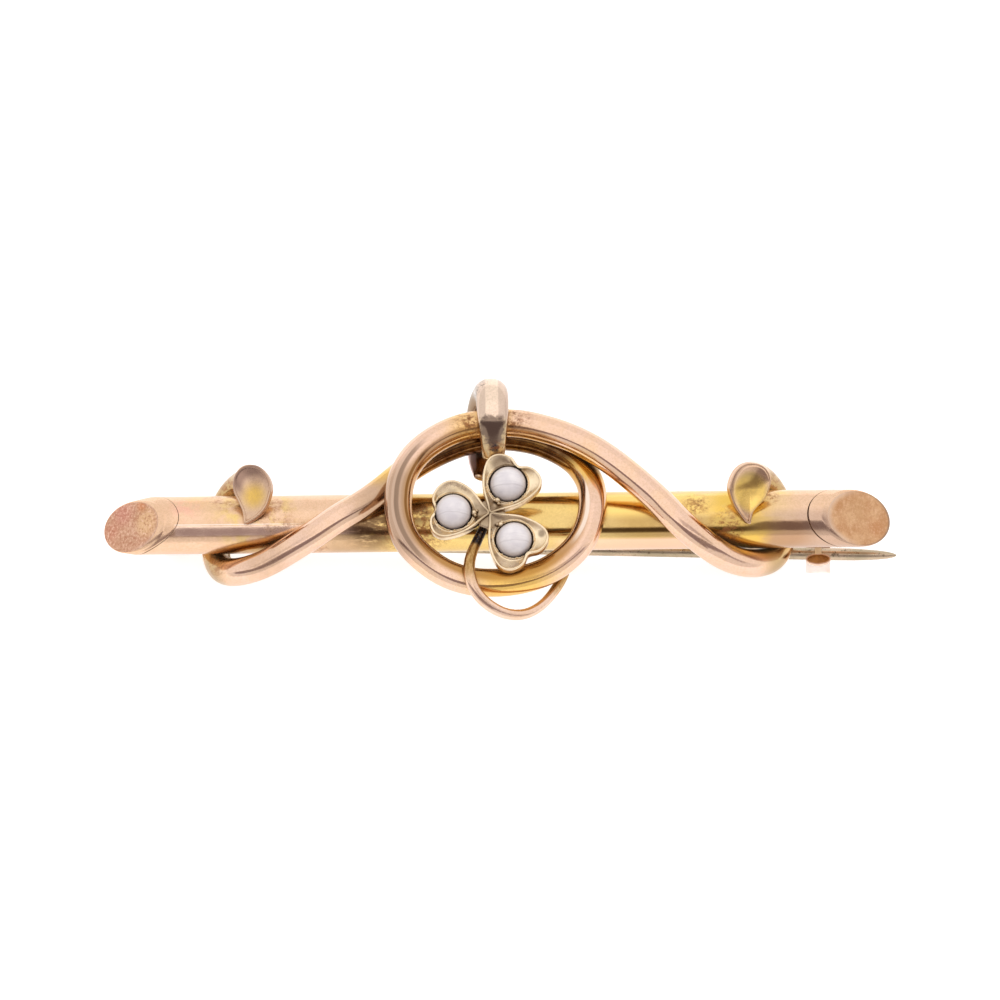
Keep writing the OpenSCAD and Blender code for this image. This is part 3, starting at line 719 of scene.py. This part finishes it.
def catch_metal():
    n = new_material("catch_gold")
    lip_y, lip_z = CATCH_LIP[0], CATCH_LIP[1] + BAR_HEIGHT
    grain = n.step(n.noise(3.5, 4, 0.65), 0.35, 0.65)
    color = n.mix(grain, (0.88, 0.68, 0.56), (0.78, 0.56, 0.42))
    # painted shade, brown, in the lip's dished inside
    off = n.vector("SUBTRACT", n.pos, (HINGE_X, lip_y, lip_z))
    out = n.vector("LENGTH", n.vector("MULTIPLY", off, (1 / 0.68, 1 / 0.28, 0)))
    bowl = n.times(n.step(out, 1.06, 0.94), n.step(n.z, lip_z - 0.3, lip_z - 0.24))
    color = n.mix(n.times(bowl, 0.92), color, n.mix(grain, (0.60, 0.33, 0.10), (0.42, 0.20, 0.06)))
    # painted light: the neck in front of the pin, but not the catch's back, pale and not metallic
    neck = n.times(n.step(n.y, lip_y + 0.30, lip_y + 0.34), n.step(n.y, lip_y + 1.12, lip_y + 1.06),
                   n.step(n.z, 0.9, 1.0))
    color = n.mix(n.times(neck, 0.95), color, (0.95, 0.76, 0.50))
    # painted light: the wall under the lip, and the front of the hook's back on both its sides, near white
    # with streaks and not metallic
    below = n.times(n.step(n.y, lip_y + 0.1, lip_y - 0.1), n.step(n.z, lip_z - 0.28, lip_z - 0.33))
    behind = n.times(n.step(n.y, lip_y + 0.62, lip_y + 0.5), n.step(n.z, 0.6, 0.5))
    wall = n.most(below, behind)
    streak = n.step(n.noise(2.6, 3, 0.6, stretch=(2.2, 1, 0.4)), 0.5, 0.66)
    color = n.mix(wall, color, n.mix(streak, (0.98, 0.93, 0.90), (0.86, 0.66, 0.54)))
    # painted light: the wall glows, more so lower down, though it is no lamp
    glow = n.times(wall, n.step(n.z, lip_z - 0.4, lip_z - 0.85, 0.22, 0.42))
    return n.finish(color, 0.38, n.less(1.0, n.most(wall, neck)), Normal=n.bump(n.noise(4, 4, 0.6), 0.01),
                    Emission_Color=(1.0, 0.92, 0.88), Emission_Strength=glow)


def pearl_middle(turned):
    """Where a pearl's middle is, in the leaf that is turned by that many degrees."""
    a = math.radians(turned)
    return CLOVER_AT + PEARL_REACH * np.array([math.cos(a), math.sin(a), 0])


def clover_metal():
    n = new_material("clover_gold")
    tone = n.step(n.noise(1.1, 4, 0.6), 0.35, 0.65)
    color = n.mix(tone, (0.95, 0.765, 0.53), (0.80, 0.62, 0.395))
    # painted shade in hollows, and darker in tight corners
    color = n.mix(n.times(n.crevice(1.3, 0.25, 0.85), 0.35), color, (0.42, 0.31, 0.18))
    color = n.mix(n.times(n.crevice(0.45, 0.2, 0.75), 0.75), color, (0.16, 0.09, 0.04))
    for shade in CLOVER_SHADES:
        color = n.mix(n.near(*shade), color, (0.27, 0.19, 0.125))
    # painted shade in the middle, below the leaves' rims and faintly above
    base = CLOVER_AT[2] + BAR_HEIGHT
    low = n.times(n.near(CLOVER_AT, 0.35, 1.25), n.step(n.z, base + 0.61, base + 0.52))
    color = n.mix(n.times(low, 0.85), color, (0.21, 0.135, 0.08))
    color = n.mix(n.near(CLOVER_AT, 0.3, 1.5, 0.75), color, (0.30, 0.205, 0.13))
    # painted shade, patchy, in the ragged gap round each pearl
    ragged = n.noise(5.5, 3, 0.7, offset=(4, 7, 1))
    seat_shade = n.step(n.noise(2.2, 3, 0.6, offset=(2, 1, 7)), 0.38, 0.6, 0.1, 0.7)
    for turned in LEAF_ANGLES:
        off = n.vector("MULTIPLY", n.vector("SUBTRACT", n.pos, pearl_middle(turned)), (1, 1, 0))
        edge = n.less(n.vector("LENGTH", off), n.times(ragged, 0.30))
        color = n.mix(n.times(n.step(edge, 1.04, 0.97), seat_shade), color, (0.075, 0.045, 0.025))
    normal = n.bump(n.noise(14, 4, 0.7), 0.0035, Normal=n.bump(n.noise(1.4, 3, 0.55), 0.022))
    return n.finish(color, n.step(n.noise(3, 4, 0.6), 0.3, 0.7, 0.24, 0.4), Normal=normal)


def pearl_nacre():
    n = new_material("pearl")
    color = n.mix(n.step(n.noise(1.2, 3, 0.5), 0.35, 0.65), (0.90, 0.835, 0.83), (0.78, 0.72, 0.735))
    # painted shade towards each pearl's foot
    foot = CLOVER_AT[2] + BAR_HEIGHT + PEARL_SINK
    color = n.mix(n.step(n.z, foot + 1.12, foot, 0, 0.8), color, (0.34, 0.29, 0.275))
    streak = n.step(n.noise(1.6, 3, 0.6, stretch=(0.35, 5, 1)), 0.53, 0.6)
    color = n.mix(n.times(streak, 0.10), color, (0.40, 0.36, 0.38))
    # one wavy dark line across each pearl, a painted reflection of the studio's dark band
    wobble = n.times(n.noise(0.8, 2, 0.5, stretch=(1, 0, 0)), 0.25)
    for turned in LEAF_ANGLES:
        off = n.size(n.less(n.less(n.y, pearl_middle(turned)[1] - 0.48), wobble))
        color = n.mix(n.step(off, 0.055, 0.01, 0, 0.22), color, (0.36, 0.30, 0.30))
    return n.finish(color, 0.32, 0.0, Normal=n.bump(n.noise(1.5, 3, 0.5), 0.006),
                    Coat_Weight=0.35, Coat_Roughness=0.18, IOR=1.5)


def pin_metal():
    n = new_material("pin_metal")
    tone = n.step(n.noise(0.8, 4, 0.6, stretch=(0.5, 1, 1)), 0.35, 0.65)
    color = n.mix(tone, (0.42, 0.34, 0.225), (0.58, 0.44, 0.31))
    spots = n.step(n.noise(4.0, 4, 0.6, offset=(4, 4, 4)), 0.58, 0.68, 0, 0.7)
    color = n.mix(spots, color, (0.12, 0.08, 0.05))
    return n.finish(color, n.step(n.noise(2, 3, 0.6), 0.3, 0.7, 0.24, 0.4),
                    Normal=n.bump(n.noise(5, 4, 0.7, stretch=(0.3, 3, 3)), 0.003))


def build_materials():
    return {
        "bar": gold("bar_gold", ROSE, (0.77, 0.50, 0.33), bar_yellow, bar_dirt, 0.18, 0.007, BAR_MARKS, 2.0,
                    0.85, (0.46, 0.25, 0.06), BAR_YELLOW, bar_lean, bar_dull),
        "wire": gold("wire_gold", PINK, (0.81, 0.54, 0.37), wire_yellow, wire_dirt, 0.13, 0.004, WIRE_MARKS,
                     2.6, 0.9),
        "stem": gold("stem_gold", (0.82, 0.58, 0.45), (0.78, 0.53, 0.38), mask(y=((-6.2, -4.4, 0, 0.6),)),
                     mask(0), 0.2, 0.005, STEM_MARKS, 1.2),
        "collar": gold(
            "collar_gold", (0.86, 0.64, 0.50), (0.84, 0.65, 0.50), mask(y=((4.6, 3.2, 0, 0.4),)),
            mask(near=(((0.1, 3.0, 4.2), 0.3, 0.8), ((-0.7, 7.2, 4.2), 0.1, 0.6))), 0.14, 0.006,
            COLLAR_MARKS, 1.6, 0.7, (0.30, 0.20, 0.14), duller=mask(0.35, **COLLAR_BACK)),
        "leaf_left": gold(
            "leaf_gold_left", (0.62, 0.42, 0.29), (0.68, 0.45, 0.30),
            mask(near=(((-14.7, 0.85, 2.4), 0.3, 1.2),)), mask(0), 0.26, 0.004,
            ((leaf_left_shade, (0.33, 0.205, 0.155)),), 0.9, 0.85, (0.30, 0.185, 0.135), (0.68, 0.43, 0.11)),
        "leaf_right": gold(
            "leaf_gold_right", (0.70, 0.47, 0.33), (0.66, 0.43, 0.28),
            mask(near=(((15.3, 0.8, 2.6), 0.9, 1.5),)), mask(0), 0.22, 0.004,
            RIGHT_LEAF_MARKS, 0.6, 0.7, (0.34, 0.21, 0.09), (0.74, 0.49, 0.14)),
        "plain": gold("fitting_gold", (0.72, 0.50, 0.34), (0.64, 0.43, 0.27), mask(0.2), mask(0),
                      0.3, 0.004, (), 0.6, 0.5),
        "cap_left": cap_metal("left", LEFT_CUT, (0.62, 0.37, 0.245), (0.53, 0.29, 0.18),
                              (0.42, 0.17, 0.10), 0.9),
        "cap_right": cap_metal("right", RIGHT_CUT, (0.64, 0.385, 0.21), (0.53, 0.28, 0.135),
                               (0.42, 0.20, 0.09), 0.35),
        "catch": catch_metal(),
        "clover": clover_metal(),
        "pearl": pearl_nacre(),
        "pin": pin_metal(),
    }


# ---- the brooch's pieces ----

def cut_x(r, phi, cut, back):
    """Where a right end's cut plane meets the line at radius r and angle phi round the bar."""
    angle, roll = cut
    start = BAR_LENGTH / 2 - BAR_R / math.tan(angle) - back
    return start - r / math.tan(angle) * np.cos(phi + roll)


def bar_ring(x, r, phi):
    return np.column_stack([np.broadcast_to(x, phi.shape), r * np.sin(phi), r * np.cos(phi)])


def seam_x(phi, cut, drop):
    """Where a right end's seam runs round the bar; drop moves its underside towards the end."""
    return cut_x(BAR_R, phi, cut, CAP_LENGTH) + drop * np.clip(np.cos(phi + 1.4), 0, 1) ** 3


def bar_skin():
    phi = around(160)
    left = -seam_x(phi, LEFT_CUT, SEAM_DROP)
    right = seam_x(phi, RIGHT_CUT, 0)
    edge = ((-0.15, 0.09), (0, 0.09), *SEAM_EDGE)
    rings = [bar_ring(left + d, BAR_R - inset, phi) for d, inset in edge]
    for t in np.linspace(0, 1, 240):
        rings.append(bar_ring(left + 0.1 + (right - left - 0.2) * t, BAR_R, phi))
    rings += [bar_ring(right - d, BAR_R - inset, phi) for d, inset in edge[::-1]]
    v, f = loft(rings)
    return v, [q[::-1] for q in f]


def cap_shape(cut, rim, dent, mirror, slim, drop, gapes):
    """An end cap, and how many of its faces lie before its matt end. rim is the edge's radius on
    its short side, dent the depth of the end's dents, slim how much it narrows towards its end
    above and below, drop as for seam_x, and gapes are the places round the bar, the half widths
    and the sizes of the seam's openings. mirror makes it a left cap."""
    phi = around(160)
    seam = seam_x(phi, cut, drop) + 0.4 * SEAM
    for at, half, size in gapes:
        off = (phi - at + np.pi) % (2 * np.pi) - np.pi
        seam = seam + size * np.exp(-(off / half) ** 2)
    slim = 0.5 * (slim[0] + slim[1]) + 0.5 * (slim[0] - slim[1]) * np.sin(phi + 0.38)
    edge = ((0.03, 0.3), (0, 0.3), *SEAM_EDGE)
    rings = [bar_ring(seam + d, BAR_R - inset, phi) for d, inset in edge]
    round_r = rim * (0.56 + 0.44 * np.cos(phi + cut[1]))
    top = cut_x(BAR_R, phi, cut, 0)
    for t in np.linspace(0, 1, 14):
        x = seam + 0.1 + (top - round_r - seam - 0.1) * t
        rings.append(bar_ring(x, BAR_R * (1 - slim * t ** 1.3), phi))
    for g in np.radians(np.linspace(10, 90, 9)):
        r = BAR_R - round_r * (1 - math.cos(g))
        flat = cut_x(r, phi, cut, 0)
        x = top - round_r * (1 - math.sin(g)) + (flat - top) * math.sin(g)
        rings.append(bar_ring(np.minimum(x, flat), r * (1 - slim), phi))
    before = (len(rings) - 3) * len(phi)
    last = BAR_R - round_r
    for s in np.linspace(0, 1, 26)[1:-1]:
        r = last * (1 - s)
        wave = np.sin(1.9 * r * np.sin(phi) + 0.7) * np.cos(2.3 * r * np.cos(phi) - 0.4)
        wave = dent * (wave - 0.8 * (1 - (r / last) ** 2)) * min(6 * s, 1)
        rings.append(bar_ring(cut_x(r, phi, cut, 0) + wave, r * (1 - slim), phi))
    v, f = loft(rings, False, True)
    if mirror:
        return (v * (-1, 1, 1), f), before
    return (v, [q[::-1] for q in f]), before


def inward(p):
    """Unit normals in the plane that point into a closed outline, a little smoothed."""
    t = np.roll(p, -1, axis=0) - np.roll(p, 1, axis=0)
    t /= np.linalg.norm(t, axis=1)[:, None]
    area = 0.5 * np.sum(p[:, 0] * np.roll(p[:, 1], -1) - p[:, 1] * np.roll(p[:, 0], -1))
    n = soften(np.column_stack([-t[:, 1], t[:, 0]]) * np.sign(area), 2.0, True)
    return n / np.linalg.norm(n, axis=1)[:, None]


def leaf_shape(drop, middle, angles, at, dish, broad=0.0):
    """A dished leaf with a raised rim, which is that much broader towards RIM_WAY, in mm."""
    line = soften(resample(catmull(np.array(drop) * LEAF_LENGTH, 24, True), 220, True), 1.6, True)
    normal = inward(line)
    c = np.array(middle)
    aside = np.clip((line - c) @ RIM_WAY / np.linalg.norm(line - c, axis=1), 0, 1)[:, None]

    def ring(inset, z, shrink=0.0):
        grow = broad * min(1.0, (LEAF_RIM - inset) / 0.055) * aside
        q = line + normal * (inset - grow)
        return raised(q + (c - q) * shrink, z)

    rings = [ring(0.1, 0.0, 0.6), ring(0.1, 0.0, 0.02)]
    rings += [ring(inset, z) for inset, z in LEAF_SIDE]
    # the bowl's level lines turn from the leaf's outline into circles
    edge = line + normal * LEAF_RIM
    reach = np.linalg.norm(edge - c, axis=1)
    circle = c + (edge - c) * (1.15 * reach.min() / reach)[:, None]
    for s in np.linspace(0, 1, 30)[1:-1]:
        level = edge + (circle - edge) * (s * (2 - s))
        rings.append(raised(c + (level - c) * (1 - s), LEAF_SIDE[-1][1] - dish * (1 - (1 - s) ** 2)))
    v, f = loft(rings, True, True)
    return turn(v, *angles) + at, f


def heart(length):
    half = np.array(HALF_HEART)
    rows = np.vstack([half, (half * (1, -1))[-2:0:-1]]) * length
    return soften(resample(catmull(rows, 16, True), 320, True), 1.2, True)


def clover_leaf(share, turned, seed, lift=0.0, pull=0.0):
    """A cupped heart with a raised rim and a jagged seat for its pearl. lift widens one of its
    lobes, and pull moves that lobe's top towards the clover's middle, in mm."""
    line = heart(CLOVER_LEAF * share)
    lobe = line[:, 1] < 0
    far = line[lobe, 1] / line[lobe, 1].min()
    line[lobe] += np.column_stack([-pull * far ** 2, lift * line[lobe, 1]])
    normal = inward(line)
    c = np.array([PEARL_REACH, 0.0])
    ang = np.unwrap(np.arctan2(line[:, 1] - c[1], line[:, 0] - c[0]))
    rng = np.random.default_rng(seed)
    teeth = sum(rng.uniform(0.3, 1) * np.sin(k * ang + rng.uniform(0, 6.28)) for k in (17, 23, 31, 41, 9))
    teeth = 0.5 + 0.5 * teeth / np.abs(teeth).max()
    circle = c + spin(ang, PEARL_R + 0.035 + 0.045 * (1 - teeth))
    rings = [raised(line + normal * inset, z) for inset, z in CLOVER_SIDE]
    inner = line + normal * 0.17
    gap = np.linalg.norm(inner - circle, axis=1)
    for s in np.linspace(1, 0, 34):
        lip = np.exp(-((gap * s - 0.06) / 0.07) ** 2) * (0.06 + 0.13 * teeth)
        rings.append(raised(circle + (inner - circle) * s, 0.3 + 0.24 * s ** 1.7 + lip))
    rings += [raised(c + (circle - c) * share, z) for share, z in ((0.985, 0.12), (0.6, 0.1))]
    v, f = loft(rings, True, True)
    return turn(v, z=turned), f


def clover_shape():
    # the grains' x, y, z and radius, in a leaf
    grains = ((0.98, 0.02, 0.46, 0.17), (0.83, -0.13, 0.42, 0.1), (0.9, 0.17, 0.44, 0.1))
    parts = []
    for k, (turned, share) in enumerate(zip(LEAF_ANGLES, LEAF_SHARES)):
        parts.append(clover_leaf(share, turned, 11 + k, *LEAF_LOBES[k]))
        for *at, r in grains:
            v, f = ball(at, r)
            parts.append((turn(v, z=turned), f))
    v, f = join(*parts, ball((0, 0, 0.22), 0.95, 14, 40, 0.24))
    return v + CLOVER_AT, f


def pearl_shape(turned, seed):
    """A slightly uneven half pearl with a flat underside."""
    rng = np.random.default_rng(seed)
    a = around(96)
    wob = 1 + 0.006 * np.sin(2 * a + rng.uniform(0, 6)) + 0.004 * np.sin(3 * a + rng.uniform(0, 6))
    foot = 0.012
    rings = [raised(spin(a, 0.9), foot)]
    for g in np.radians(np.linspace(1, 88, 40)):
        r = PEARL_R * 0.997 * math.cos(g) * wob
        rings.append(raised(spin(a, r), foot + (PEARL_R - foot) * math.sin(g)))
    v, f = loft(rings, True, True)
    return turn(v + (PEARL_REACH, 0, PEARL_SINK), z=turned) + CLOVER_AT, f


def pin_shape():
    # how far along the pin, and its radius there as a share of PIN_R
    taper = [(NECK_LENGTH - 0.9, 0.9), (NECK_LENGTH + 0.15, 0.94), (NECK_LENGTH + 0.6, 1.0)]
    taper += [(PIN_LENGTH - left * POINT_LENGTH, share) for left, share in PIN_POINT]
    taper += [(PIN_LENGTH - 0.08, 0.27), (PIN_LENGTH - 0.03, 0.17)]
    along, share = np.transpose(taper)
    x = np.unique(np.concatenate([np.linspace(along[0], NECK_LENGTH + 1, 12),
                                  np.linspace(NECK_LENGTH + 1, PIN_LENGTH - POINT_LENGTH, 90),
                                  np.linspace(PIN_LENGTH - POINT_LENGTH, along[-1], 30)]))
    r = PIN_R * np.interp(x, along, share)
    flat = np.interp(x, [NECK_LENGTH, NECK_LENGTH + 0.8], [0.8, 1.0])
    shank = tube(np.column_stack([x, 0 * x, 0 * x]), r, r * flat, 40, 0.03, (0, 1, 0))
    h = EYE_THICKNESS / 2
    edge = ((0.27, 0.03), (0.3, 0), (EYE_R - 0.05, 0), (EYE_R, 0.06))
    profile = [(q, d - h) for q, d in edge] + [(q, h - d) for q, d in edge[::-1]] + [(0.27, 0.03 - h)]
    v, f = join(shank, loft([raised(spin(around(64), q), z) for q, z in profile]))
    return turn(v, z=-math.degrees(PIN_DROOP)) + (-HINGE_X, HINGE_Y, PIN_Z), f


def build_brooch(m):
    add("bar_skin", bar_skin(), m["bar"], "bar_tube")
    for side, spec in CAPS:
        shape, polished = cap_shape(*spec)
        cap = add("cap_" + side, shape, m["bar"], "end_cap_" + side)
        cap.data.materials.append(m["cap_" + side])
        faces = np.arange(len(cap.data.polygons))
        cap.data.polygons.foreach_set("material_index", (faces >= polished).astype(int))

    p = smooth_route(VINE, 0.2, 0.45)
    add("vine_wire", tube(p, WIRE_R, WIRE_R, 108, 0.16, crease=CREASE), m["wire"], "vine")
    p = smooth_route(COLLAR, 0.1, 0.25)
    add("collar_band", tube(p[:, :3], p[:, 3], p[:, 4], 48, 0.2), m["collar"], "collar")
    p = smooth_route(STEM, 0.1, 0.25)
    add("stem_wire", tube(p[:, :3], p[:, 3], p[:, 3], 28, 0.15), m["stem"], "clover_stem")

    add("leaf_cup_left", leaf_shape(LEFT_DROP, (-0.02, 0.2), (14, -12, 0), (-14.75, 1, 2.26), 0.24),
        m["leaf_left"], "leaf_left")
    add("leaf_cup_right", leaf_shape(RIGHT_DROP, (0.0, 0.3), (26, 17, 0), (15.31, 0.79, 2.46), 0.22, 0.2),
        m["leaf_right"], "leaf_right")
    add("clover", clover_shape(), m["clover"], "clover_setting")
    for k, side in enumerate(("left", "top", "right")):
        add("half_pearl_" + side, pearl_shape(LEAF_ANGLES[k], 21 + k), m["pearl"], "pearl_" + side)
    add("pin_wire", pin_shape(), m["pin"], "pin", "pin")

    for name, key in (("hinge_bracket", "plain"), ("hinge_rivet", "plain"), ("catch", "catch")):
        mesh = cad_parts[name].data
        mesh.materials.clear()
        mesh.materials.append(m[key])


# ---- studio ----

def build_camera():
    turned = Matrix.Rotation(CAMERA_TILT, 4, "X") @ Matrix.Rotation(-CAMERA_ROLL, 4, "Z")
    place = turned @ Vector((3 / PIXELS_PER_MM, 22 / PIXELS_PER_MM, CAMERA_FAR))
    cam = bpy.data.cameras.new("camera")
    cam.sensor_width = 36
    cam.lens = 36 * CAMERA_FAR / (1000 / PIXELS_PER_MM)
    cam.clip_start = 0.05
    cam.clip_end = 50
    cam.dof.use_dof = False
    obj = link("camera", cam)
    obj.matrix_world = Matrix.Translation((place + Vector((0, 0, BAR_HEIGHT))) * MM) @ turned
    bpy.context.scene.camera = obj


def build_world():
    """A paper tent. Directions are in degrees from straight above, angle towards +Y and sideways
    towards +X."""
    world = bpy.data.worlds.new("studio")
    bpy.context.scene.world = world
    n = Nodes(world, "Generated", 1.0)
    angle = n.times(n.math("ARCTAN2", n.y, n.z), 180 / math.pi)
    sideways = n.times(n.math("ARCSINE", n.x), 180 / math.pi)
    across = n.size(sideways)

    def window(value, low, high, soft):
        return n.times(n.step(value, low, low + soft), n.step(value, high, high - soft))

    sky = n.mix(n.step(angle, -66, -20), (0.86, 0.86, 0.86), (1.0, 1.0, 1.0))
    sky = n.mix(n.times(window(sideways, 9, 60, 7), window(angle, -44, -2, 9)), sky, (0.58, 0.545, 0.555))
    sky = n.mix(n.times(window(sideways, -50, -15, 6), window(angle, -40, -4, 9)), sky, (0.82, 0.81, 0.81))
    sky = n.mix(window(angle, -31, -23, 3), sky, (1.25, 1.25, 1.25))
    # the dark band is narrower towards its two ends
    low_edge = n.less(angle, n.times(n.step(across, 12, 36), 17))
    band = n.times(n.step(low_edge, -69, -67), n.step(angle, -28.5, -30.5), n.step(across, 76, 66))
    back = n.tree.nodes["Background"]
    n.put(back.inputs["Color"], n.mix(band, sky, (0.30, 0.255, 0.27)))
    back.inputs["Strength"].default_value = 1.15


def build_floor():
    mesh = bpy.data.meshes.new("floor")
    s = 4.0
    mesh.from_pydata([(-s, -s, 0), (s, -s, 0), (s, s, 0), (-s, s, 0)], [], [(0, 1, 2, 3)])
    mesh.materials.append(new_material("floor_paper").finish(
        (0.7, 0.7, 0.7), 0.9, 0.0, Specular_IOR_Level=0.1, Emission_Color=(1, 1, 1), Emission_Strength=0.7))
    link("floor", mesh)


def build_light():
    light = bpy.data.lights.new("softbox", "AREA")
    light.shape = "SQUARE"
    light.size = 1.5
    light.energy = 0.9
    link("softbox", light).location = (0, 0.1, 1.3)


build_brooch(build_materials())
build_floor()
build_light()
build_world()
build_camera()
bpy.context.scene.view_settings.view_transform = "Standard"
